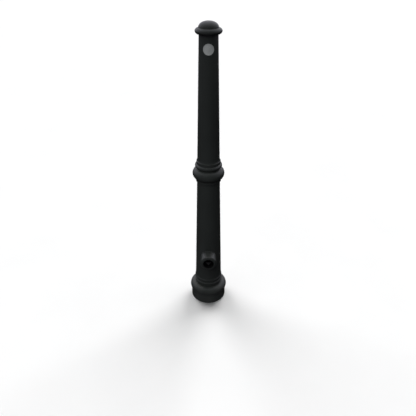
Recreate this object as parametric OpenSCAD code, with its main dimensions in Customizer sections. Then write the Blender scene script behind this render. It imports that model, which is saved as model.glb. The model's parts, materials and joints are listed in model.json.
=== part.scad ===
// Removable street bollard: a moulded column that lifts off a post bolted to the ground.
// A triangular-key lock in the round shroud near the foot drives a bolt into that post.
// The origin is on the column's axis at ground level, +Z is up and the lock faces -Y.
// The lock is drawn open, with its bolt drawn back, so the column is free to lift.

/* [Column] */
// Height of the bollard above the ground
post_h = 1100; // [920:10:1400]

/* [Foot casting] */
// Diameter of the foot where it meets the ground
foot_d = 140; // [125:1:170]
// Outside diameter of the ring moulding round the foot
foot_ring_d = 149; // [140:1:180]
// Thickness of the ring moulding
foot_ring_t = 40; // [30:1:44]
// Height of the ring moulding's middle
foot_ring_z = 55; // [50:1:60]
// Wall of the foot
foot_wall = 6.5; // [5:0.5:9]
// Diameter of the neck above the ring moulding
neck_d = 105.4; // [100:0.2:112]
// Height of the foot casting
foot_h = 82; // [78:1:90]

/* [Lower column] */
// Diameter of the lower of the two beads at the bottom of the lower column
bead_d = 110.4; // [106:0.2:118]
// Diameter of the lower column just above the beads
lower_bottom_d = 104.3; // [95:0.1:110]
// Diameter of the lower column at its top
lower_top_d = 84.2; // [80:0.2:100]
// Wall of the lower column
lower_wall = 6; // [4:0.5:7]

/* [Middle collar] */
// Height of the joint between the lower column and the collar
collar_z = 552; // [480:1:640]
// Diameter of the plain band at the bottom of the collar
band_d = 92.2; // [88:0.2:104]
// Outside diameter of the collar's large ring
collar_ring_d = 116.4; // [105:0.2:135]
// Thickness of the collar's large ring
collar_ring_t = 44.6; // [38:0.2:48]
// Outside diameter of the collar's small ring
astragal_d = 98.2; // [94:0.2:108]
// Thickness of the collar's small ring
astragal_t = 16.4; // [12:0.2:20]

/* [Upper column] */
// Diameter of the flared bottom of the upper column
upper_foot_d = 87; // [84:0.2:92]
// Diameter of the upper column just above the flare
upper_bottom_d = 80.4; // [76:0.2:84]
// Diameter of the upper column at its top
upper_top_d = 62; // [54:0.2:72]
// Wall of the upper column
upper_wall = 5; // [4:0.5:6]

/* [Cap] */
// Outside diameter of the ring round the cap
cap_ring_d = 86.4; // [78:0.2:104]
// Width of the cap ring's oval section
cap_ring_w = 27.8; // [24:0.2:32]
// Height of the cap ring's oval section
cap_ring_t = 19.8; // [16:0.2:24]
// Diameter of the dome on the cap
dome_d = 65; // [58:0.2:74]
// Height of the dome above the cap ring's middle
dome_top = 28.5; // [24:0.5:34]

/* [Marker badge] */
// Diameter of the round badge
badge_d = 34; // [24:1:42]
// Distance of the badge's middle below the top
badge_drop = 78; // [60:1:120]

/* [Ground anchor] */
// Outside diameter of the inner post
inner_post_d = 60.3; // [48.3:0.1:72.4]
// Wall of the inner post
inner_post_wall = 3.2; // [2.5:0.1:5]
// Height of the inner post's top above the ground
inner_post_top = 330; // [300:5:400]
// Thickness of the base plate
plate_t = 12; // [8:1:15]
// Diameter of the anchor bolt holes
anchor_hole_d = 14; // [11:0.5:18]
// Distance from the middle of an anchor hole to the plate's edge
anchor_edge = 17; // [15:0.5:20]

/* [Lock] */
// Height of the lock's axis
lock_z = 225; // [190:1:250]
// Outside diameter of the lock shroud
shroud_d = 63; // [56:1:76]
// Bore of the lock shroud
shroud_bore = 42; // [40:0.5:46]
// How far the shroud stands out from the column
shroud_out = 39; // [32:1:48]
// Depth of the key recess
key_depth = 19; // [16:0.5:24]
// Side of the triangular head
key_side = 18.4; // [12:0.2:22]
// Diameter of the sliding bolt
bolt_d = 21; // [16:0.5:22]
// Travel of the sliding bolt
bolt_travel = 15; // [8:0.5:18]

/* [Tie rod] */
// Diameter of the tie rod
rod_d = 16; // [12:1:20]

/* [Hidden] */
$fn = 96;

// Clearances
eps = 0.05;          // pieces fitted into each other
joint_gap = 0.3;     // faces that pass each other without touching
run_gap = 0.05;      // radial clearance of a turning or sliding fit
guide_gap = 0.4;     // radial clearance of the guide ring on the inner post
plate_gap = 0.5;     // radial clearance of the foot round the base plate
rod_gap = 0.5;       // radial clearance of the tie rod's holes
spigot_gap = 0.3;    // radial clearance of a spigot in a column's rough bore
past = 1;            // how far a cut runs past the face that it opens
arc_steps = 24;      // points along a formula curve

// Foot casting
foot_r = foot_d / 2;
foot_bore = foot_r - foot_wall;
foot_edge = 2;
web_t = 20;
web_cone_h = 17;
web_land = 2;
web_gap = 5.85;
web_bottom = foot_h - web_t;
web_bore = inner_post_d / 2 + web_gap;
foot_screw_r = 4;
foot_screw_head_r = 6.5;
foot_screw_head_h = 8;
foot_screw_socket_r = 3.5;
foot_screw_socket_h = 4;
foot_screw_len = 28;
foot_screw_inset = 0.4;
foot_screw_pos = (web_bore + neck_d / 2) / 2 - foot_screw_inset;
foot_screw_n = 4;

// Lower column
bead_r = 4.5;
bead_lift = 4;
bead_pitch = 17;
bead_step = 0.6;
bead_z = foot_h + bead_lift + bead_r;
cove_z = bead_z + bead_pitch + bead_r;
cove_h = 12;
cove_out = 1.2;
shaft_z = cove_z + cove_h;
column_flange_t = 14;
spigot_h = 10;
spigot_end_gap = 0.5;
top_flange_t = 10;
top_flange_bore = 22;
top_flange_z = collar_z - spigot_h - top_flange_t;

// Guide ring
guide_h = 20;
guide_drop = 36;
guide_z = inner_post_top - guide_drop;
guide_seat_cut = 0.2;
guide_seat = lower_r(guide_z) - lower_wall + guide_seat_cut;
guide_lead_w = 1.5;
guide_lead_h = 3;
guide_rib_h = 5;
guide_rib_w = 4;
snap_t = 2.5;
snap_w = 3.5;
snap_groove = 1.2;
snap_split = 12;

// Middle collar
band_h = 14;
band_chamfer = 1;
collar_ring_lift = 8.5;
collar_ring_z = collar_z + collar_ring_t / 2 + collar_ring_lift;
astragal_lift = 1.1;
astragal_z = collar_ring_z + collar_ring_t / 2 + astragal_t / 2 + astragal_lift;
collar_top = astragal_z + astragal_t / 2;
collar_core_step = 0.5;
collar_core = upper_foot_d / 2 - collar_core_step;
collar_bore = 28;
lower_spigot = lower_top_d / 2 - lower_wall - 2 * eps;

// Upper column
upper_foot_h = 10;
upper_cove_h = 12;
upper_shaft_z = collar_top + upper_foot_h + upper_cove_h;
upper_spigot = upper_bottom_d / 2 - upper_wall - spigot_gap;
upper_spigot_h = 10;
upper_spigot_gap = 2;

// Cap
cap_ring_z = post_h - dome_top;
cap_seat = cap_ring_z - cap_ring_t / 2;
cap_spigot = upper_top_d / 2 - upper_wall - spigot_gap;
cap_spigot_h = 10;
cap_hole_rise = 13;
cap_hole_top = cap_ring_z + cap_hole_rise;
dome_rise = 8;
dome_base = cap_ring_z + dome_rise;
dome_power = 2.2;
seal_r = 1.5;
seal_stand = 0.2;
cap_seal_z = cap_seat - cap_spigot_h / 2;

// Tie rod
rod_r = rod_d / 2;
clamp_t = 8;
clamp_gap = 3;
clamp_r = lower_top_d / 2 - lower_wall - clamp_gap;
washer_t = 3;
washer_r = 1.88 * rod_d / 2;  // the usual washer and nut for the rod's thread
nut_af = 1.5 * rod_d;
nut_h = 13;
lock_nut_h = 8;
rod_tail = 4;
rod_bottom = top_flange_z - clamp_t - washer_t - nut_h - lock_nut_h - rod_tail;
rod_end_gap = 2;
rod_top = cap_hole_top - rod_end_gap;
lower_dowel_r = 2;
upper_dowel_r = 2.5;
dowel_len = 14;

// Badge
badge_z = post_h - badge_drop;
badge_t = 1;
badge_rim = 2.5;
badge_relief = 0.6;
badge_dot_d = 11;

// Ground anchor
post_r = inner_post_d / 2;
post_bore = post_r - inner_post_wall;
plate_r = foot_bore - plate_gap;
anchor_pos = plate_r - anchor_edge;
drain_r = 8;
index_r = 5;
index_edge = 9;
index_pos = plate_r - index_edge;
index_h = 14;
index_top = plate_t + index_h;
index_chamfer = 2;
lug_w = 18;
lug_in = 8;
lug_h = 20;
gusset_t = 6;
gusset_gap = 2.85;
gusset_out = index_pos - lug_in - post_r - gusset_gap;
gusset_toe = 4;
gusset_top_w = 2;
gusset_h = 42;
cap_lid_t = 4;
cap_lid_slope = 3;
cap_plug_h = 12;

// Lock, with every place given as a distance from the column's axis
bolt_r = bolt_d / 2;
shroud_r = shroud_d / 2;
shroud_in = shroud_bore / 2;
shroud_nose = min(8, shroud_r - shroud_in);
rim_u = lower_r(lock_z) + shroud_out;
cover_u = rim_u - key_depth;
cover_t = 4;
barrel_gap = 4;
barrel_front = cover_u - cover_t;
barrel_back = post_r + barrel_gap;
lip_t = 4;
lip_w = 6;
lip_step = 2;
shroud_back = barrel_back + lip_step;
lip_r = bolt_r + lip_w;
lip_u = shroud_back + lip_t;
head_drop = 5;
head_u = rim_u - head_drop;
head_shoulder = 4;
head_r = key_side / sqrt(3);
bolt_wall = 5;
bolt_end_gap = 0.8;
bolt_nose_gap = 1.5;
bolt_nose_t = 4.5;
bolt_chamfer = 1.5;
bolt_nose = post_r + bolt_nose_gap;
thread_r = bolt_r - bolt_wall;
thread_end_gap = 0.5;
journal_rise = 1;
journal_r = thread_r + journal_rise;
journal_step = 0.4;
clip_t = 1.2;
clip_gap = 1;
clip_r = bolt_r - clip_gap;
clip_split = 5;
clip_front = barrel_front - joint_gap;
clip_back = clip_front - clip_t;
bolt_rear = clip_back - bolt_end_gap;
spindle_end = bolt_nose + bolt_nose_t + thread_end_gap;
spindle_seal_r = 1;
spindle_seal_u = (barrel_front + cover_u) / 2;
key_r = 2;
key_gap = 4;
key_u = lip_u + key_gap;
key_depth_in_bolt = 1.8;
key_in = bolt_r - key_depth_in_bolt;
key_end_gap = 0.6;
slot_gap = 0.1;
slot_end_gap = 0.15;
slot_start = key_u - key_r - slot_end_gap;
slot_depth = 2.1;
bush_wall = 3;
bush_gap = 1.5;
bush_bore = bolt_r + bush_gap;
bush_r = bush_bore + bush_wall;
bush_u = bolt_nose - bolt_travel;
cover_snap_t = 2;
cover_snap_w = 3.4;
cover_snap_groove = 1;
cover_snap_split = 9;
cover_snap_bore = shroud_in + cover_snap_groove - cover_snap_w;
screw_r = 1.75;
screw_head_r = 3.3;
screw_head_h = 1.9;
screw_len = 12;
screw_socket_r = 1.4;
screw_socket_h = 1;
screw_snap_gap = 0.8;
screw_pos = cover_snap_bore - screw_snap_gap - screw_head_r;

// Radius along a straight taper between two heights
function taper(z, z0, r0, z1, r1) = r0 + (z - z0) * (r1 - r0) / (z1 - z0);
function lower_r(z) = taper(z, shaft_z, lower_bottom_d / 2, collar_z, lower_top_d / 2);
function upper_r(z) = taper(z, upper_shaft_z, upper_bottom_d / 2, cap_seat, upper_top_d / 2);

// Hollow curve from (r0, z0), where it runs inwards, up to (r1, z1), where it is upright
function cove(r0, z0, r1, z1) = [
    for (i = [0 : arc_steps / 3])
        let (a = 90 * i / (arc_steps / 3))
        [r1 + (r0 - r1) * (1 - sin(a)), z0 + (z1 - z0) * (1 - cos(a))]
];

// Right half of an oval, from its lowest to its highest point
function half_oval(r, z, w, t) = [
    for (i = [0 : arc_steps])
        let (a = -90 + 180 * i / arc_steps)
        [r + w / 2 * cos(a), z + t / 2 * sin(a)]
];

// Dome from its rim to its crown, a little fuller than an ellipse
function dome(r, z, h) = [
    for (i = [0 : arc_steps])
        let (a = 90 * i / arc_steps)
        [r * pow(cos(a), 2 / dome_power), z + h * pow(sin(a), 2 / dome_power)]
];

module tube(r_out, r_in, z0, z1) {
    difference() {
        translate([0, 0, z0]) cylinder(r = r_out, h = z1 - z0);
        translate([0, 0, z0 - past]) cylinder(r = r_in, h = z1 - z0 + 2 * past);
    }
}

module rod(r, z0, z1) {
    translate([0, 0, z0]) cylinder(r = r, h = z1 - z0);
}

module seal_ring(r_mid, r, z) {
    translate([0, 0, z]) rotate_extrude() translate([r_mid, 0]) circle(r = r);
}

// A ring with a gap, as a retaining ring has
module split_ring(r_out, r_in, z0, z1, gap) {
    difference() {
        tube(r_out, r_in, z0, z1);
        translate([0, -gap / 2, z0 - past]) cube([r_out + past, gap, z1 - z0 + 2 * past]);
    }
}

// Turns a piece drawn upwards so that its height runs out along the lock's axis, towards -Y
module on_lock_axis() {
    translate([0, 0, lock_z]) rotate([90, 0, 0]) children();
}

module round_about(n, r, first = 0) {
    for (i = [0 : n - 1]) rotate([0, 0, first + 360 * i / n]) translate([r, 0, 0]) children();
}

// ---- Ground anchor ----

module base_plate() {
    color("dimgray") difference() {
        rod(plate_r, 0, plate_t);
        round_about(4, anchor_pos, 45) rod(anchor_hole_d / 2, -past, plate_t + past);
        translate([0, index_pos, 0]) rod(index_r + eps, -past, plate_t + past);
        rod(drain_r, -past, plate_t + past);
    }
}

module inner_post() {
    color("silver") difference() {
        tube(post_r, post_bore, plate_t, inner_post_top);
        on_lock_axis() rod(bush_r + eps, 0, post_r + past);
    }
}

module post_gussets() {
    color("dimgray") difference() {
        for (i = [0 : 3]) rotate([0, 0, 90 * i])
            rotate([90, 0, 0]) translate([0, 0, -gusset_t / 2]) linear_extrude(gusset_t) polygon([
                [post_bore, plate_t], [post_r + gusset_out, plate_t],
                [post_r + gusset_out, plate_t + gusset_toe], [post_r + gusset_top_w, plate_t + gusset_h],
                [post_bore, plate_t + gusset_h]
            ]);
        rod(post_r, 0, inner_post_top);
    }
}

module strike_bush() {
    color("goldenrod") intersection() {
        on_lock_axis() tube(bush_r, bush_bore, bush_u, post_r);
        rod(post_r, 0, inner_post_top);
    }
}

module index_pin() {
    color("silver") translate([0, index_pos, 0]) {
        rod(index_r, 0, index_top - index_chamfer);
        translate([0, 0, index_top - index_chamfer])
            cylinder(r1 = index_r, r2 = index_r - index_chamfer, h = index_chamfer);
    }
}

module inner_post_cap() {
    color("black") {
        rod(post_bore - eps, inner_post_top - cap_plug_h, inner_post_top);
        translate([0, 0, inner_post_top])
            cylinder(r1 = post_r, r2 = post_r - cap_lid_slope, h = cap_lid_t);
    }
}

// ---- Bollard ----

module foot_profile() {
    difference() {
        union() {
            polygon([
                [0, 0], [foot_r - foot_edge, 0], [foot_r, foot_edge], [foot_r, foot_ring_z],
                [neck_d / 2, foot_ring_z], [neck_d / 2, foot_h], [0, foot_h]
            ]);
            translate([(foot_ring_d - foot_ring_t) / 2, foot_ring_z]) circle(r = foot_ring_t / 2);
        }
        polygon([
            [-past, -past], [foot_bore, -past], [foot_bore, web_bottom - web_cone_h],
            [foot_screw_pos + foot_screw_head_r + web_land, web_bottom], [web_bore, web_bottom],
            [web_bore, foot_h + past], [-past, foot_h + past]
        ]);
    }
}

module foot_casting() {
    color("#1e201f") difference() {
        union() {
            rotate_extrude() foot_profile();
            intersection() {
                translate([-lug_w / 2, index_pos - lug_in, plate_t + joint_gap])
                    cube([lug_w, foot_r, lug_h]);
                rod(foot_bore + foot_wall / 2, 0, foot_h);
            }
        }
        translate([0, index_pos, 0]) rod(index_r + plate_gap, 0, plate_t + lug_h + past);
        round_about(foot_screw_n, foot_screw_pos)
            rod(foot_screw_r + eps, web_bottom - past, foot_h + past);
    }
}

module foot_screws() {
    color("silver") round_about(foot_screw_n, foot_screw_pos) {
        rod(foot_screw_r, web_bottom, web_bottom + foot_screw_len);
        difference() {
            rod(foot_screw_head_r, web_bottom - foot_screw_head_h, web_bottom);
            translate([0, 0, web_bottom - foot_screw_head_h - past])
                cylinder(r = foot_screw_socket_r, h = foot_screw_socket_h + past, $fn = 6);
        }
    }
}

module lower_column_profile() {
    difference() {
        union() {
            polygon(concat(
                [[0, foot_h], [neck_d / 2, foot_h], [neck_d / 2, cove_z]],
                cove(lower_bottom_d / 2 + cove_out, cove_z, lower_bottom_d / 2, shaft_z),
                [[lower_top_d / 2, collar_z], [0, collar_z]]
            ));
            for (i = [0, 1])
                translate([bead_d / 2 - bead_r - i * bead_step, bead_z + i * bead_pitch])
                    circle(r = bead_r);
        }
        polygon([
            [-past, foot_h - past], [web_bore, foot_h - past], [web_bore, foot_h + column_flange_t],
            [lower_r(foot_h + column_flange_t) - lower_wall, foot_h + column_flange_t],
            [lower_r(top_flange_z) - lower_wall, top_flange_z], [-past, top_flange_z]
        ]);
        square([top_flange_bore, collar_z + past]);
        translate([0, collar_z - spigot_h]) square([lower_top_d / 2 - lower_wall, spigot_h + past]);
        translate([0, guide_z]) square([guide_seat, guide_h]);
        translate([0, guide_z - snap_t - eps]) square([guide_seat + snap_groove, snap_t + eps]);
    }
    translate([guide_seat - guide_rib_w, guide_z + guide_h]) square([guide_rib_w + past, guide_rib_h]);
}

module lower_column() {
    color("#1e201f") difference() {
        rotate_extrude() lower_column_profile();
        on_lock_axis() rod(shroud_r + eps, 0, rim_u);
        round_about(foot_screw_n, foot_screw_pos)
            rod(foot_screw_r + eps, foot_h - past, web_bottom + foot_screw_len + past);
        lower_dowel(eps);
    }
}

module guide_ring() {
    color("ivory") rotate_extrude() polygon([
        [post_r + guide_gap + guide_lead_w, guide_z], [guide_seat - eps, guide_z],
        [guide_seat - eps, guide_z + guide_h], [post_r + guide_gap, guide_z + guide_h],
        [post_r + guide_gap, guide_z + guide_lead_h]
    ]);
}

module guide_snap_ring() {
    color("silver") rotate([0, 0, 90]) split_ring(
        guide_seat + snap_groove - eps, guide_seat - snap_w, guide_z - snap_t, guide_z - eps, snap_split
    );
}

module mid_collar() {
    color("#1e201f") difference() {
        union() {
            rotate_extrude() {
                polygon([
                    [0, collar_z], [band_d / 2 - band_chamfer, collar_z],
                    [band_d / 2, collar_z + band_chamfer],
                    [band_d / 2, collar_z + band_h], [collar_core, collar_z + band_h],
                    [collar_core, collar_top], [0, collar_top]
                ]);
                translate([(collar_ring_d - collar_ring_t) / 2, collar_ring_z])
                    circle(r = collar_ring_t / 2);
                translate([(astragal_d - astragal_t) / 2, astragal_z]) circle(r = astragal_t / 2);
            }
            rod(lower_spigot, collar_z - spigot_h + spigot_end_gap, collar_z);
            rod(upper_spigot, collar_top, collar_top + upper_spigot_h);
        }
        rod(collar_bore, collar_z - spigot_h, collar_top + upper_spigot_h + past);
        lower_dowel(eps);
        upper_dowel(eps);
    }
}

module upper_column() {
    color("#1e201f") difference() {
        rotate_extrude() difference() {
            polygon(concat(
                [[0, collar_top], [upper_foot_d / 2, collar_top]],
                cove(upper_foot_d / 2, collar_top + upper_foot_h, upper_bottom_d / 2, upper_shaft_z),
                [[upper_top_d / 2, cap_seat], [0, cap_seat]]
            ));
            polygon([
                [-past, collar_top - past], [upper_spigot + eps, collar_top - past],
                [upper_spigot + eps, collar_top + upper_spigot_h + upper_spigot_gap],
                [upper_r(upper_shaft_z) - upper_wall, upper_shaft_z],
                [upper_r(cap_seat) - upper_wall, cap_seat],
                [upper_r(cap_seat) - upper_wall, cap_seat + past], [-past, cap_seat + past]
            ]);
        }
        upper_dowel(eps);
    }
}

module lower_dowel(gap) {
    translate([0, (collar_bore + lower_spigot) / 2, 0])
        rod(lower_dowel_r + gap, collar_z - spigot_h - dowel_len / 2, collar_z - spigot_h + dowel_len / 2);
}

module upper_dowel(gap) {
    translate([0, (upper_spigot + upper_foot_d / 2) / 2, 0])
        rod(upper_dowel_r + gap, collar_top - dowel_len / 2, collar_top + dowel_len / 2);
}

module column_dowels() {
    color("silver") {
        lower_dowel(0);
        upper_dowel(0);
    }
}

module cap() {
    color("#1e201f") difference() {
        union() {
            rotate_extrude() {
                polygon(concat(
                    [[0, cap_seat], [upper_top_d / 2, cap_seat], [dome_d / 2, cap_ring_z]],
                    dome(dome_d / 2, dome_base, post_h - dome_base)
                ));
                polygon(concat(
                    [[0, cap_seat]],
                    half_oval((cap_ring_d - cap_ring_w) / 2, cap_ring_z, cap_ring_w, cap_ring_t),
                    [[0, cap_ring_z + cap_ring_t / 2]]
                ));
            }
            difference() {
                rod(cap_spigot, cap_seat - cap_spigot_h, cap_seat);
                tube(cap_spigot + past, cap_spigot - 2 * seal_r, cap_seal_z - seal_r, cap_seal_z + seal_r);
            }
        }
        rod(rod_r + eps, cap_seat - cap_spigot_h - past, cap_hole_top);
    }
}

module cap_seal() {
    color("black") seal_ring(cap_spigot - seal_r + seal_stand, seal_r - eps, cap_seal_z);
}

module tie_rod() {
    color("silver") rod(rod_r, rod_bottom, rod_top);
}

module clamp_plate() {
    color("dimgray") tube(clamp_r, rod_r + rod_gap, top_flange_z - clamp_t, top_flange_z);
}

module tie_washer() {
    color("silver")
        tube(washer_r, rod_r + rod_gap, top_flange_z - clamp_t - washer_t, top_flange_z - clamp_t);
}

module hex_nut(z_top, h) {
    difference() {
        translate([0, 0, z_top - h]) cylinder(r = nut_af / sqrt(3), h = h, $fn = 6);
        rod(rod_r + eps, z_top - h - past, z_top + past);
    }
}

module tie_nuts() {
    color("silver") {
        hex_nut(top_flange_z - clamp_t - washer_t, nut_h);
        hex_nut(top_flange_z - clamp_t - washer_t - nut_h - eps, lock_nut_h);
    }
}

// A skin over the upper column's taper, from one height above its surface to another
module column_skin(low, high) {
    z0 = badge_z - badge_d;
    z1 = badge_z + badge_d;
    difference() {
        translate([0, 0, z0]) cylinder(r1 = upper_r(z0) + high, r2 = upper_r(z1) + high, h = z1 - z0);
        translate([0, 0, z0]) cylinder(r1 = upper_r(z0) + low, r2 = upper_r(z1) + low, h = z1 - z0);
    }
}

module badge_shape(r_out, r_in, high) {
    intersection() {
        column_skin(eps, high);
        translate([0, 0, badge_z]) rotate([90, 0, 0]) difference() {
            rod(r_out, 0, upper_bottom_d);
            if (r_in > 0) rod(r_in, -past, upper_bottom_d + past);
        }
    }
}

module marker_badge() {
    color("lightgray") {
        badge_shape(badge_d / 2, 0, badge_t);
        badge_shape(badge_d / 2, badge_d / 2 - badge_rim, badge_t + badge_relief);
        badge_shape(badge_dot_d / 2, 0, badge_t + badge_relief);
    }
}

// ---- Lock ----

module lock_shroud() {
    color("#1e201f") on_lock_axis() rotate_extrude() difference() {
        union() {
            translate([shroud_in, shroud_back])
                square([shroud_r - shroud_in, rim_u - shroud_nose - shroud_back]);
            translate([shroud_in, shroud_back])
                square([shroud_r - shroud_nose - shroud_in, rim_u - shroud_back]);
            intersection() {
                translate([shroud_r - shroud_nose, rim_u - shroud_nose]) circle(r = shroud_nose);
                translate([shroud_in, shroud_back]) square([shroud_r, rim_u]);
            }
            translate([lip_r, shroud_back]) square([shroud_r - lip_r, lip_t]);
        }
        translate([shroud_in - past, cover_u]) square([cover_snap_groove + past, cover_snap_t + eps]);
    }
}

module lock_barrel() {
    color("gray") on_lock_axis() difference() {
        union() {
            rod(shroud_in - eps, lip_u + eps, barrel_front);
            rod(lip_r - eps, barrel_back, lip_u + eps);
        }
        rod(bolt_r + run_gap, barrel_back - past, barrel_front + past);
        translate([0, 0, key_u]) rotate([-90, 0, 0]) rod(key_r + eps, 0, shroud_in);
        for (side = [-1, 1]) translate([side * screw_pos, 0, 0])
            rod(screw_r + eps, barrel_front - screw_len, barrel_front + past);
    }
}

module bolt_key() {
    color("silver") on_lock_axis() translate([0, 0, key_u]) rotate([-90, 0, 0])
        rod(key_r, key_in, shroud_in - key_end_gap);
}

module lock_cover() {
    color("black") on_lock_axis() difference() {
        rod(shroud_in - eps, barrel_front, cover_u);
        rod(journal_r + run_gap, barrel_front - past, cover_u + past);
        tube(
            journal_r + run_gap + 2 * spindle_seal_r + eps, journal_r,
            spindle_seal_u - spindle_seal_r, spindle_seal_u + spindle_seal_r
        );
        for (side = [-1, 1]) translate([side * screw_pos, 0, 0]) {
            rod(screw_r + eps, barrel_front - past, cover_u);
            translate([0, 0, cover_u - screw_head_h])
                cylinder(r1 = screw_r + eps, r2 = screw_head_r + eps, h = screw_head_h + eps);
        }
    }
}

module cover_screws() {
    color("silver") on_lock_axis() for (side = [-1, 1]) translate([side * screw_pos, 0, 0]) {
        rod(screw_r, cover_u - screw_len, cover_u - screw_head_h);
        difference() {
            translate([0, 0, cover_u - screw_head_h])
                cylinder(r1 = screw_r, r2 = screw_head_r, h = screw_head_h);
            translate([0, 0, cover_u - screw_socket_h])
                cylinder(r = screw_socket_r, h = screw_socket_h + past, $fn = 6);
        }
    }
}

module cover_snap_ring() {
    color("silver") on_lock_axis() rotate([0, 0, 90]) split_ring(
        shroud_in + cover_snap_groove - eps, cover_snap_bore,
        cover_u + eps, cover_u + cover_snap_t, cover_snap_split
    );
}

module spindle_seal() {
    color("black") on_lock_axis()
        seal_ring(journal_r + run_gap + spindle_seal_r, spindle_seal_r, spindle_seal_u);
}

module lock_spindle() {
    color("gray") on_lock_axis() difference() {
        union() {
            translate([0, 0, cover_u + joint_gap + head_shoulder]) rotate([0, 0, -90])
                cylinder(r = head_r, h = head_u - cover_u - joint_gap - head_shoulder, $fn = 3);
            rod(head_r, cover_u + joint_gap, cover_u + joint_gap + head_shoulder);
            rod(journal_r, clip_back - journal_step, cover_u + joint_gap);
            rod(thread_r, spindle_end, clip_back - journal_step);
        }
        tube(journal_r + past, thread_r, clip_back - eps, clip_front);
    }
}

module spindle_clip() {
    color("silver") on_lock_axis() rotate([0, 0, -90])
        split_ring(clip_r, thread_r + eps, clip_back, clip_front - eps, clip_split);
}

module lock_bolt() {
    color("silver") on_lock_axis() difference() {
        union() {
            rod(bolt_r, bolt_nose + bolt_chamfer, bolt_rear);
            translate([0, 0, bolt_nose])
                cylinder(r1 = bolt_r - bolt_chamfer, r2 = bolt_r, h = bolt_chamfer);
        }
        rod(thread_r + run_gap, bolt_nose + bolt_nose_t, bolt_rear + past);
        translate([-key_r - slot_gap, bolt_r - slot_depth, slot_start])
            cube([2 * (key_r + slot_gap), slot_depth + past, bolt_rear]);
    }
}

base_plate();
inner_post();
post_gussets();
strike_bush();
index_pin();
inner_post_cap();
foot_casting();
foot_screws();
lower_column();
guide_ring();
guide_snap_ring();
mid_collar();
upper_column();
column_dowels();
cap();
cap_seal();
tie_rod();
clamp_plate();
tie_washer();
tie_nuts();
marker_badge();
lock_shroud();
lock_barrel();
bolt_key();
lock_cover();
cover_screws();
cover_snap_ring();
spindle_seal();
lock_spindle();
spindle_clip();
lock_bolt();
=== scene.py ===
"""Looks of the removable street bollard: materials, the turned cap, two welds, floor, lights and camera."""
import json
import math

import bmesh
import bpy
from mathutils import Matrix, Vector


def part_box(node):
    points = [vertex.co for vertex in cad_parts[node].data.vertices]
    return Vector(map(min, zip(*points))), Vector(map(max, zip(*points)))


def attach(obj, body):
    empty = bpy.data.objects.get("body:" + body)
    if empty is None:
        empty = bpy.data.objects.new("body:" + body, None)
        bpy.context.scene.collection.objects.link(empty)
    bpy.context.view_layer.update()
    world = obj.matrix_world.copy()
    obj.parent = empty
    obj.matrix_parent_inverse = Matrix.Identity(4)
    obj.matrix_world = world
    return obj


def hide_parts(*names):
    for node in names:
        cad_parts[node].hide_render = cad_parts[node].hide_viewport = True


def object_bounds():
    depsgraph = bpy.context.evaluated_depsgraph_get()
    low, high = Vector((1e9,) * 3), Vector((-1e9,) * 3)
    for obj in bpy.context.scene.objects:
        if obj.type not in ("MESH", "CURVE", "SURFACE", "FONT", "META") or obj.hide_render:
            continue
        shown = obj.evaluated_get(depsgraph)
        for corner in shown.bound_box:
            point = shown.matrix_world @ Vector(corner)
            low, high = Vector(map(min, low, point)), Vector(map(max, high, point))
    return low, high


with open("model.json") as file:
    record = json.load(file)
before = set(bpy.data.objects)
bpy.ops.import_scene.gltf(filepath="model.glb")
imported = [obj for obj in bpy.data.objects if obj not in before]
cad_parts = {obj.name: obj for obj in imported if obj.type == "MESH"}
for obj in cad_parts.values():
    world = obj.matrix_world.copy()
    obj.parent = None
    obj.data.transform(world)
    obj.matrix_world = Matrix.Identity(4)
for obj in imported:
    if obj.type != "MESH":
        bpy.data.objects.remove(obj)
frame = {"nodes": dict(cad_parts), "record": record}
cad_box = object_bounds()

SCENE = bpy.context.scene
HEIGHT = cad_box[1].z
MM = 0.001
TURN = 2 * math.pi

# Camera, as shares of the bollard's height, with its pitch below the horizon in degrees
CAMERA_DISTANCE = 1.3121
CAMERA_HEIGHT = 1.2122
CAMERA_PITCH = 32.07
CAMERA_SIDE = -0.0016
SENSOR_MM = 36.0
LENS_MM = 38.41

# The lower column's taper: radius and height at its foot, and radius at its head
SHAFT_FOOT_R = 52.15 * MM
SHAFT_FOOT_Z = 124 * MM
SHAFT_HEAD_R = 42.1 * MM

# The cap's ring, an ellipse whose middle is this far below the tip
CAP_RING_DROP = 28.5 * MM
CAP_RING_WIDTH = 27.8 * MM
CAP_RING_THICK = 19.8 * MM
CAP_NECK_R = 31.0 * MM

# The cap's dome, on a base this far above the ring's middle. A power over 2 makes it squarer than an ellipse
DOME_R = 32.5 * MM
DOME_LIFT = 8 * MM
DOME_POWER = 2.2

# The cap's underside: the spigot in the upper column, and the bore that takes the tie rod
SPIGOT_R = 25.7 * MM
CAP_BORE_R = 8.05 * MM
CAP_BORE_LIFT = 13 * MM

# Turned and welded meshes: segments round the axis, steps along a curve, and the bead's lumps
TURNED_SEGMENTS = 256
CURVE_STEPS = 72
ON_AXIS = 1e-9
WELD_SEGMENTS = 240
WELD_SIDES = 10
WELD_LUMP = 0.1
WELD_SWELLS = 3
SHROUD_WELD_R = 2.1 * MM
SHROUD_WELD_RIPPLES = 46
POST_WELD_R = 2.6 * MM
POST_WELD_RIPPLES = 34

# The lock, from its shroud and the cover at the back of its key recess
SHROUD_LOW, SHROUD_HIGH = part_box("lock_shroud")
COVER_LOW, COVER_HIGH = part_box("lock_cover")
SHROUD_R = (SHROUD_HIGH.x - SHROUD_LOW.x) / 2
LOCK_Z = (SHROUD_LOW.z + SHROUD_HIGH.z) / 2
RECESS_R = (COVER_HIGH.x - COVER_LOW.x) / 2
RECESS_BACK = COVER_HIGH.y

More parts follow.
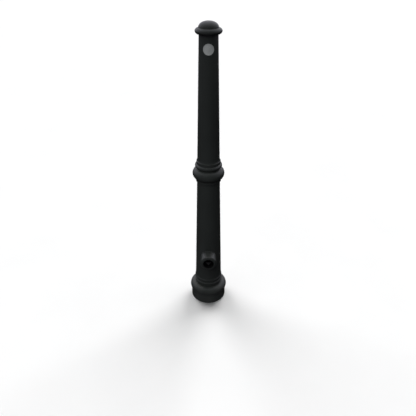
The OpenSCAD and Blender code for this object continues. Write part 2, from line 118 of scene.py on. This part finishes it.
# Colours
COAT_DARK = (0.0095, 0.0108, 0.0102)
COAT_LIGHT = (0.0128, 0.0145, 0.0137)
DUST = (0.075, 0.07, 0.062)
# Painted shade: near black for the key recess and what shows in it, which lie in shade
RECESS_PAINTED_SHADE = (0.0015, 0.0015, 0.0016)
BADGE_DARK = (0.21, 0.213, 0.218)
BADGE_LIGHT = (0.26, 0.263, 0.268)
SPANGLE_DARK = (0.27, 0.28, 0.29)
SPANGLE_LIGHT = (0.48, 0.49, 0.5)
ZINC_BLOOM = (0.55, 0.55, 0.54)
FLOOR_DARK = (0.83, 0.83, 0.83)
FLOOR_LIGHT = (0.85, 0.85, 0.85)
GLOSS_TINT = (0.9, 0.89, 1.0)
WHITE = (1.0, 1.0, 1.0)

# Grain of turned or plated metal: how much each axis is stretched
ALONG_Y = (1, 14, 1)
ALONG_Z = (1, 1, 9)


# ---------------------------------------------------------------- shader helpers


def new_material(name):
    """A material with its Principled shader. Returns (material, tree, shader)."""
    material = bpy.data.materials.new(name)
    material.use_nodes = True
    tree = material.node_tree
    return material, tree, tree.nodes["Principled BSDF"]


def add(tree, kind, **inputs):
    """A shader node with its inputs set by name."""
    node = tree.nodes.new(kind)
    for key, value in inputs.items():
        node.inputs[key.replace("_", " ")].default_value = value
    return node


def coordinates(tree, scale=(1, 1, 1)):
    """Object coordinates, in metres, stretched by scale along each axis."""
    place = add(tree, "ShaderNodeMapping", Scale=scale)
    source = tree.nodes.new("ShaderNodeTexCoord")
    tree.links.new(source.outputs["Object"], place.inputs["Vector"])
    return place.outputs["Vector"]


def split(tree, vector):
    """The X, Y and Z outputs of a vector, by name."""
    node = tree.nodes.new("ShaderNodeSeparateXYZ")
    tree.links.new(vector, node.inputs["Vector"])
    return node.outputs


def noise(tree, scale, detail=4.0, roughness=0.55, stretch=(1, 1, 1)):
    """Fractal noise, scale in cells per metre."""
    node = add(tree, "ShaderNodeTexNoise", Scale=scale, Detail=detail, Roughness=roughness)
    tree.links.new(coordinates(tree, stretch), node.inputs["Vector"])
    return node.outputs["Fac"]


def ramp(tree, value, *stops):
    """A colour ramp over value. Stops are (position, colour)."""
    node = tree.nodes.new("ShaderNodeValToRGB")
    for element, (position, colour) in zip(node.color_ramp.elements, stops):
        element.position = position
        element.color = (*colour, 1.0)
    tree.links.new(value, node.inputs["Fac"])
    return node.outputs["Color"]


def to_range(tree, value, low, high, new_low, new_high):
    """Value moved from one range to another, and held inside it."""
    node = add(tree, "ShaderNodeMapRange", From_Min=low, From_Max=high, To_Min=new_low, To_Max=new_high)
    tree.links.new(value, node.inputs["Value"])
    return node.outputs["Result"]


def maths(tree, operation, first, second=0.0):
    """One maths step on two sockets or numbers."""
    node = tree.nodes.new("ShaderNodeMath")
    node.operation = operation
    for socket, value in zip(node.inputs, (first, second)):
        if isinstance(value, (int, float)):
            socket.default_value = value
        else:
            tree.links.new(value, socket)
    return node.outputs["Value"]


def total(tree, first, second):
    """The sum of two sockets or numbers."""
    return maths(tree, "ADD", first, second)


def times(tree, first, second):
    """The product of two sockets or numbers."""
    return maths(tree, "MULTIPLY", first, second)


def less(tree, first, second):
    """The first socket or number less the second."""
    return maths(tree, "SUBTRACT", first, second)


def mix_colour(tree, factor, first, second):
    """First where factor is 0, second where it is 1. Either may be a colour or a socket."""
    node = tree.nodes.new("ShaderNodeMix")
    node.data_type = "RGBA"
    tree.links.new(factor, node.inputs["Factor"])
    colour_inputs = [socket for socket in node.inputs if socket.type == "RGBA"]
    for socket, value in zip(colour_inputs, (first, second)):
        if isinstance(value, tuple):
            socket.default_value = (*value, 1.0)
        else:
            tree.links.new(value, socket)
    return next(socket for socket in node.outputs if socket.type == "RGBA")


def facing_up(tree):
    """1 on a face that looks straight up, 0 on an upright one."""
    geometry = tree.nodes.new("ShaderNodeNewGeometry")
    return split(tree, geometry.outputs["Normal"])["Z"]


def bump(tree, shader, *heights):
    """A chain of bump nodes, one for each (height socket, distance in metres, strength)."""
    last = None
    for height, distance, strength in heights:
        node = add(tree, "ShaderNodeBump", Strength=strength, Distance=distance)
        tree.links.new(height, node.inputs["Height"])
        if last is not None:
            tree.links.new(last, node.inputs["Normal"])
        last = node.outputs["Normal"]
    tree.links.new(last, shader.inputs["Normal"])


def set_finish(tree, shader, colour, rough):
    """Links a shader's colour and roughness."""
    tree.links.new(colour, shader.inputs["Base Color"])
    tree.links.new(rough, shader.inputs["Roughness"])


# ---------------------------------------------------------------- materials


def dusty(tree):
    """How dusty a point is: in patches, on ledges and near the ground."""
    ledge = to_range(tree, facing_up(tree), 0.55, 1.0, 0.0, 1.0)
    low = to_range(tree, split(tree, coordinates(tree))["Z"], 0.0, 160 * MM, 1.0, 0.0)
    patch = to_range(tree, noise(tree, 34.0, detail=6.0, roughness=0.65), 0.42, 0.7, 0.0, 1.0)
    return times(tree, total(tree, times(tree, ledge, 0.16), times(tree, low, 0.1)), patch)


def inside_recess(tree):
    """1 inside the lock's key recess, which lies along Y in front of its cover, and 0 elsewhere. It masks the
    painted shade in the recess.
    """
    point = split(tree, coordinates(tree))
    across = maths(tree, "POWER", point["X"], 2.0)
    upright = maths(tree, "POWER", less(tree, point["Z"], LOCK_Z), 2.0)
    radius = maths(tree, "SQRT", total(tree, across, upright))
    near = to_range(tree, radius, RECESS_R + 0.1 * MM, RECESS_R + 0.5 * MM, 1.0, 0.0)
    return times(tree, near, to_range(tree, point["Y"], RECESS_BACK, RECESS_BACK + MM, 1.0, 0.0))


def powder_coat(name, paint_recess_shade=False):
    """Matt black powder coat with fine orange peel and faint dust. Painted shade can make the key recess near
    black and rough.
    """
    material, tree, shader = new_material(name)
    base = ramp(tree, noise(tree, 9.0, detail=5.0), (0.3, COAT_DARK), (0.7, COAT_LIGHT))
    dust = dusty(tree)
    colour = mix_colour(tree, dust, base, DUST)
    rough = to_range(tree, noise(tree, 60.0, detail=5.0), 0.3, 0.7, 0.36, 0.46)
    rough = total(tree, rough, times(tree, dust, 0.8))
    if paint_recess_shade:
        # Painted shade: the key recess is painted near black and made rough
        inside = inside_recess(tree)
        colour = mix_colour(tree, inside, colour, RECESS_PAINTED_SHADE)
        rough = maths(tree, "MAXIMUM", rough, times(tree, inside, 0.85))
    set_finish(tree, shader, colour, rough)
    shader.inputs["Specular IOR Level"].default_value = 0.5
    peel = noise(tree, 420.0, detail=2.0, roughness=0.45)
    fine = noise(tree, 900.0, detail=3.0)
    swell = noise(tree, 26.0, detail=2.0)
    bump(tree, shader, (peel, 0.4 * MM, 0.22), (fine, 0.15 * MM, 0.2), (swell, 1.2 * MM, 0.1))
    return material


def bare_metal(name, dark, light, rough, grain, stretch):
    """Metal with a cloudy tone, scattered dull spots and a fine grain stretched along one axis."""
    material, tree, shader = new_material(name)
    shader.inputs["Metallic"].default_value = 1.0
    tone = noise(tree, 55.0, detail=6.0, roughness=0.6)
    lines = noise(tree, grain, detail=3.0, stretch=stretch)
    spots = to_range(tree, tone, 0.35, 0.7, *rough)
    colour = ramp(tree, tone, (0.3, dark), (0.72, light))
    set_finish(tree, shader, colour, total(tree, spots, times(tree, lines, 0.06)))
    bump(tree, shader, (lines, 0.1 * MM, 0.25))
    return material


def galvanised(name):
    """Hot-dip zinc: spangled grey with a dull bloom."""
    material, tree, shader = new_material(name)
    shader.inputs["Metallic"].default_value = 0.85
    cells = add(tree, "ShaderNodeTexVoronoi", Scale=170.0, Randomness=1.0)
    tree.links.new(coordinates(tree), cells.inputs["Vector"])
    spangle = tree.nodes.new("ShaderNodeSeparateColor")
    tree.links.new(cells.outputs["Color"], spangle.inputs["Color"])
    tone = ramp(tree, spangle.outputs["Red"], (0.0, SPANGLE_DARK), (1.0, SPANGLE_LIGHT))
    bloom = to_range(tree, noise(tree, 28.0, detail=6.0), 0.5, 0.72, 0.0, 0.5)
    rough = to_range(tree, spangle.outputs["Green"], 0.0, 1.0, 0.34, 0.56)
    set_finish(tree, shader, mix_colour(tree, bloom, tone, ZINC_BLOOM), rough)
    bump(tree, shader, (noise(tree, 240.0, detail=3.0), 0.3 * MM, 0.3))
    return material


def plain_polymer(name, dark, light, rough, pit):
    """Nylon, moulded plastic or rubber: a soft cloudy tone and a fine skin."""
    material, tree, shader = new_material(name)
    colour = ramp(tree, noise(tree, 40.0, detail=4.0), (0.3, dark), (0.7, light))
    set_finish(tree, shader, colour, to_range(tree, noise(tree, 130.0, detail=4.0), 0.3, 0.7, *rough))
    bump(tree, shader, (noise(tree, pit, detail=3.0), 0.2 * MM, 0.3))
    return material


def badge_plate(name):
    """The badge's grey satin face, with fine brush lines and a slightly uneven tone."""
    material, tree, shader = new_material(name)
    colour = ramp(tree, noise(tree, 300.0, detail=5.0), (0.3, BADGE_DARK), (0.7, BADGE_LIGHT))
    scuffs = noise(tree, 700.0, detail=4.0, stretch=(1.0, 1.0, 8.0))
    set_finish(tree, shader, colour, to_range(tree, scuffs, 0.3, 0.7, 0.34, 0.5))
    bump(tree, shader, (scuffs, 0.1 * MM, 0.15))
    return material


# ---------------------------------------------------------------- shapes


def to_piece(name, mesh):
    """Links a bmesh as an object and frees it."""
    data = bpy.data.meshes.new(name)
    mesh.to_mesh(data)
    mesh.free()
    piece = bpy.data.objects.new(name, data)
    SCENE.collection.objects.link(piece)
    return piece


def smooth(piece, angle):
    """Smooth shading that keeps edges sharper than angle, in degrees."""
    data = piece.data
    data.polygons.foreach_set("use_smooth", [True] * len(data.polygons))
    data.set_sharp_from_angle(angle=math.radians(angle))


def lathe(name, profile):
    """A closed body of revolution about Z from a closed outline of (radius, height) points."""
    mesh = bmesh.new()
    rings = []
    for radius, z in profile:
        if radius < ON_AXIS:
            rings.append([mesh.verts.new((0.0, 0.0, z))])
            continue
        angles = [TURN * i / TURNED_SEGMENTS for i in range(TURNED_SEGMENTS)]
        rings.append([mesh.verts.new((radius * math.cos(a), radius * math.sin(a), z)) for a in angles])
    for low, high in zip(rings, rings[1:] + rings[:1]):
        if len(low) == 1 and len(high) == 1:
            continue
        for i in range(TURNED_SEGMENTS):
            j = (i + 1) % TURNED_SEGMENTS
            corners = [low[i % len(low)], low[j % len(low)], high[j % len(high)], high[i % len(high)]]
            mesh.faces.new(list(dict.fromkeys(corners)))
    bmesh.ops.recalc_face_normals(mesh, faces=mesh.faces)
    piece = to_piece(name, mesh)
    smooth(piece, 32.0)
    return piece


def oval(centre, half_width, half_height, power, start, end):
    """Points on a superellipse, from one angle to another in degrees. Power 2 is an ellipse."""
    points = []
    for i in range(CURVE_STEPS + 1):
        a = math.radians(start + (end - start) * i / CURVE_STEPS)
        across = abs(math.cos(a)) ** (2 / power)
        upward = math.copysign(abs(math.sin(a)) ** (2 / power), math.sin(a))
        points.append((centre[0] + half_width * across, centre[1] + half_height * upward))
    return points


def turned_cap():
    """The cap with its ring and dome, turned as one smooth body."""
    low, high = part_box("cap")
    half_width, half_thick = CAP_RING_WIDTH / 2, CAP_RING_THICK / 2
    ring_r, ring_z = high.x - half_width, high.z - CAP_RING_DROP
    seat, bore_top = ring_z - half_thick, ring_z + CAP_BORE_LIFT
    dome_base = ring_z + DOME_LIFT
    share = (DOME_R - ring_r) / half_width
    join_z = ring_z + half_thick * math.sqrt(1 - share ** 2)
    ring = oval((ring_r, ring_z), half_width, half_thick, 2, -90, 90)
    dome = oval((0.0, dome_base), DOME_R, high.z - dome_base, DOME_POWER, 0, 90)
    outline = [(0.0, bore_top), (CAP_BORE_R, bore_top), (CAP_BORE_R, low.z)]
    outline += [(SPIGOT_R, low.z), (SPIGOT_R, seat), (CAP_NECK_R, seat)]
    outline += [(r, z) for r, z in ring if r > (CAP_NECK_R if z < ring_z else DOME_R)]
    outline.append((DOME_R, join_z))
    outline += [(r, z) for r, z in dome if z > join_z]
    return lathe("turned_cap", outline)


def weld_bead(name, path, radius, ripples):
    """A closed lumpy bead. Path gives, for an angle, a point and the two directions that span its section."""
    mesh = bmesh.new()
    rings = []
    for i in range(WELD_SEGMENTS):
        a = TURN * i / WELD_SEGMENTS
        point, outward, normal = path(a)
        lump = radius * (1.0 + WELD_LUMP * math.sin(a * ripples) * math.cos(a * WELD_SWELLS))
        around = [TURN * k / WELD_SIDES for k in range(WELD_SIDES)]
        section = [point + lump * (outward * math.cos(b) + normal * math.sin(b)) for b in around]
        rings.append([mesh.verts.new(corner) for corner in section])
    for here, after in zip(rings, rings[1:] + rings[:1]):
        for k in range(WELD_SIDES):
            j = (k + 1) % WELD_SIDES
            mesh.faces.new((here[k], here[j], after[j], after[k]))
    bmesh.ops.recalc_face_normals(mesh, faces=mesh.faces)
    piece = to_piece(name, mesh)
    smooth(piece, 60.0)
    return piece


def shroud_weld():
    """The painted weld where the round shroud meets the tapered column."""
    shaft_head_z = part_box("lower_column")[1].z
    taper = (SHAFT_HEAD_R - SHAFT_FOOT_R) / (shaft_head_z - SHAFT_FOOT_Z)

    def path(a):
        x, z = SHROUD_R * math.cos(a), LOCK_Z + SHROUD_R * math.sin(a)
        column_r = SHAFT_FOOT_R + taper * (z - SHAFT_FOOT_Z)
        y = -math.sqrt(column_r ** 2 - x ** 2)
        return Vector((x, y, z)), Vector((math.cos(a), 0.0, math.sin(a))), Vector((x, y, 0.0)).normalized()

    return weld_bead("shroud_weld", path, SHROUD_WELD_R, SHROUD_WELD_RIPPLES)


def post_weld():
    """The weld between the inner post and its base plate."""
    post_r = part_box("inner_post")[1].x
    plate_top = Vector((0.0, 0.0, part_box("base_plate")[1].z))

    def path(a):
        outward = Vector((math.cos(a), math.sin(a), 0.0))
        return outward * post_r + plate_top, outward, Vector((0.0, 0.0, 1.0))

    return weld_bead("post_weld", path, POST_WELD_R, POST_WELD_RIPPLES)


# ---------------------------------------------------------------- dressing the frame


FINISHES = {
    "black_coating": powder_coat("powder_coat_black"),
    "badge_metal": badge_plate("badge_plate"),
    "galvanised_steel": galvanised("galvanised_zinc"),
    "zinc_steel": bare_metal(
        "zinc_plate", dark=(0.42, 0.43, 0.42), light=(0.62, 0.62, 0.6),
        rough=(0.24, 0.42), grain=1200.0, stretch=ALONG_Z),
    "lock_brass": bare_metal(
        "turned_brass", dark=(0.42, 0.3, 0.12), light=(0.6, 0.45, 0.2),
        rough=(0.22, 0.4), grain=900.0, stretch=ALONG_Y),
    "lock_steel": bare_metal(
        "lock_steel", dark=(0.06, 0.059, 0.058), light=(0.1, 0.098, 0.097),
        rough=(0.3, 0.45), grain=900.0, stretch=ALONG_Y),
    "guide_nylon": plain_polymer(
        "guide_nylon", dark=(0.62, 0.59, 0.5), light=(0.7, 0.67, 0.58), rough=(0.38, 0.5), pit=300.0),
    "black_plastic": plain_polymer(
        "moulded_plastic", dark=(0.012, 0.012, 0.013), light=(0.02, 0.02, 0.021),
        rough=(0.4, 0.55), pit=500.0),
    "seal_rubber": plain_polymer(
        "seal_rubber", dark=(0.01, 0.01, 0.01), light=(0.016, 0.016, 0.016), rough=(0.55, 0.7), pit=400.0),
}

# Painted shade: what shows in the key recess, the coat there and the cover's screws and snap ring, is painted
# near black
COAT_WITH_PAINTED_SHADE = powder_coat("powder_coat_painted_shade", paint_recess_shade=True)
ZINC_WITH_PAINTED_SHADE = bare_metal(
    "zinc_plate_painted_shade", dark=(0.015, 0.015, 0.015), light=(0.03, 0.03, 0.03),
    rough=(0.4, 0.6), grain=1200.0, stretch=ALONG_Z)
PAINTED_SHADE_FINISHES = {
    "lock_shroud": COAT_WITH_PAINTED_SHADE,
    "lock_cover": COAT_WITH_PAINTED_SHADE,
    "cover_screws": ZINC_WITH_PAINTED_SHADE,
    "cover_snap_ring": ZINC_WITH_PAINTED_SHADE,
}

SLOT_OF = {row["node"]: row["material_slot"] for row in frame["record"]["subparts"]}
for node, piece in frame["nodes"].items():
    piece.data.materials.clear()
    piece.data.materials.append(PAINTED_SHADE_FINISHES.get(node, FINISHES[SLOT_OF[node]]))


def place(piece, body, slot, *nodes):
    """Gives a made piece its finish and body, and hides the CAD nodes that it stands for."""
    piece.data.materials.append(FINISHES[slot])
    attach(piece, body)
    if nodes:
        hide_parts(*nodes)


place(turned_cap(), "bollard", "black_coating", "cap")
place(shroud_weld(), "bollard", "black_coating")
place(post_weld(), "ground_anchor", "galvanised_steel")


# ---------------------------------------------------------------- stage


def floor():
    """A pale plain floor with a very faint unevenness."""
    mesh = bmesh.new()
    bmesh.ops.create_grid(mesh, x_segments=2, y_segments=2, size=14 * HEIGHT)
    piece = to_piece("floor", mesh)
    material, tree, shader = new_material("pale_floor")
    tone = ramp(tree, noise(tree, 3.0, detail=3.0), (0.3, FLOOR_DARK), (0.7, FLOOR_LIGHT))
    tree.links.new(tone, shader.inputs["Base Color"])
    shader.inputs["Roughness"].default_value = 0.9
    shader.inputs["Specular IOR Level"].default_value = 0.1
    piece.data.materials.append(material)
    piece.visible_diffuse = False
    piece.visible_glossy = False
    return piece


def soft_sun(name, azimuth, elevation, spread, power, colour=WHITE, spared=None):
    """A soft far light, unseen in the gloss, which leaves out the spared piece.

    Azimuth 0 is behind the bollard and 90 on its right, in degrees. Power is what it gives a flat floor.
    """
    a, e = math.radians(azimuth), math.radians(elevation)
    away = Vector((math.sin(a) * math.cos(e), math.cos(a) * math.cos(e), math.sin(e)))
    data = bpy.data.lights.new(name, "SUN")
    data.angle = math.radians(spread)
    data.energy = power * math.pi / math.sin(e)
    data.color = colour
    light = bpy.data.objects.new(name, data)
    light.location = away * 3 * HEIGHT
    light.rotation_euler = (-away).to_track_quat("-Z", "Y").to_euler()
    light.visible_glossy = False
    SCENE.collection.objects.link(light)
    if spared is not None:
        unlit = bpy.data.collections.new(name + "_spares")
        unlit.objects.link(spared)
        unlit.collection_objects[0].light_linking.link_state = "EXCLUDE"
        light.light_linking.receiver_collection = unlit


def surroundings(behind, ahead, beneath, left_gain):
    """What the gloss reflects: bright behind the bollard, dimmer ahead and dim below. The lens sees white."""
    world = bpy.data.worlds.new("studio")
    SCENE.world = world
    world.use_nodes = True
    world.cycles_visibility.diffuse = False
    tree = world.node_tree
    source = tree.nodes.new("ShaderNodeTexCoord")
    way = split(tree, source.outputs["Generated"])
    upper = to_range(tree, way["Y"], -0.6, 0.95, ahead, behind)
    sideways = to_range(tree, way["X"], -0.7, 0.7, 1.0 + left_gain, 1.0 - left_gain)
    lower = times(tree, to_range(tree, way["Y"], -0.9, 0.6, beneath, 0.0), sideways)
    above = to_range(tree, way["Z"], -0.15, 0.15, 0.0, 1.0)
    level = total(tree, times(tree, upper, above), times(tree, lower, less(tree, 1.0, above)))
    seen = tree.nodes.new("ShaderNodeLightPath").outputs["Is Camera Ray"]
    plain = maths(tree, "MAXIMUM", times(tree, level, less(tree, 1.0, seen)), seen)
    background = tree.nodes["Background"]
    tree.links.new(mix_colour(tree, seen, GLOSS_TINT, WHITE), background.inputs["Color"])
    tree.links.new(plain, background.inputs["Strength"])


def camera():
    """The camera, in front of the bollard and above it, looking down."""
    data = bpy.data.cameras.new("camera")
    data.sensor_width = SENSOR_MM
    data.lens = LENS_MM
    eye = bpy.data.objects.new("camera", data)
    eye.location = (CAMERA_SIDE * HEIGHT, -CAMERA_DISTANCE * HEIGHT, CAMERA_HEIGHT * HEIGHT)
    eye.rotation_euler = (math.radians(90 - CAMERA_PITCH), 0.0, 0.0)
    SCENE.collection.objects.link(eye)
    SCENE.camera = eye


camera()
ground = floor()
surroundings(behind=1.2, ahead=0.12, beneath=0.12, left_gain=0.35)
soft_sun("back_right", azimuth=32, elevation=28, spread=44, power=0.4)
soft_sun("back_left", azimuth=-42, elevation=32, spread=44, power=0.37)
soft_sun("high_back", azimuth=0, elevation=50, spread=60, power=0.26)
soft_sun("right", azimuth=80, elevation=35, spread=60, power=0.09)
soft_sun("left", azimuth=-100, elevation=38, spread=50, power=0.05)
soft_sun("front_left", azimuth=-140, elevation=42, spread=26, power=0.03, colour=(0.9, 0.95, 1.0))
soft_sun("fill", azimuth=-158, elevation=50, spread=50, power=0.8, colour=(0.97, 1.0, 0.99), spared=ground)
SCENE.view_settings.view_transform = "Standard"
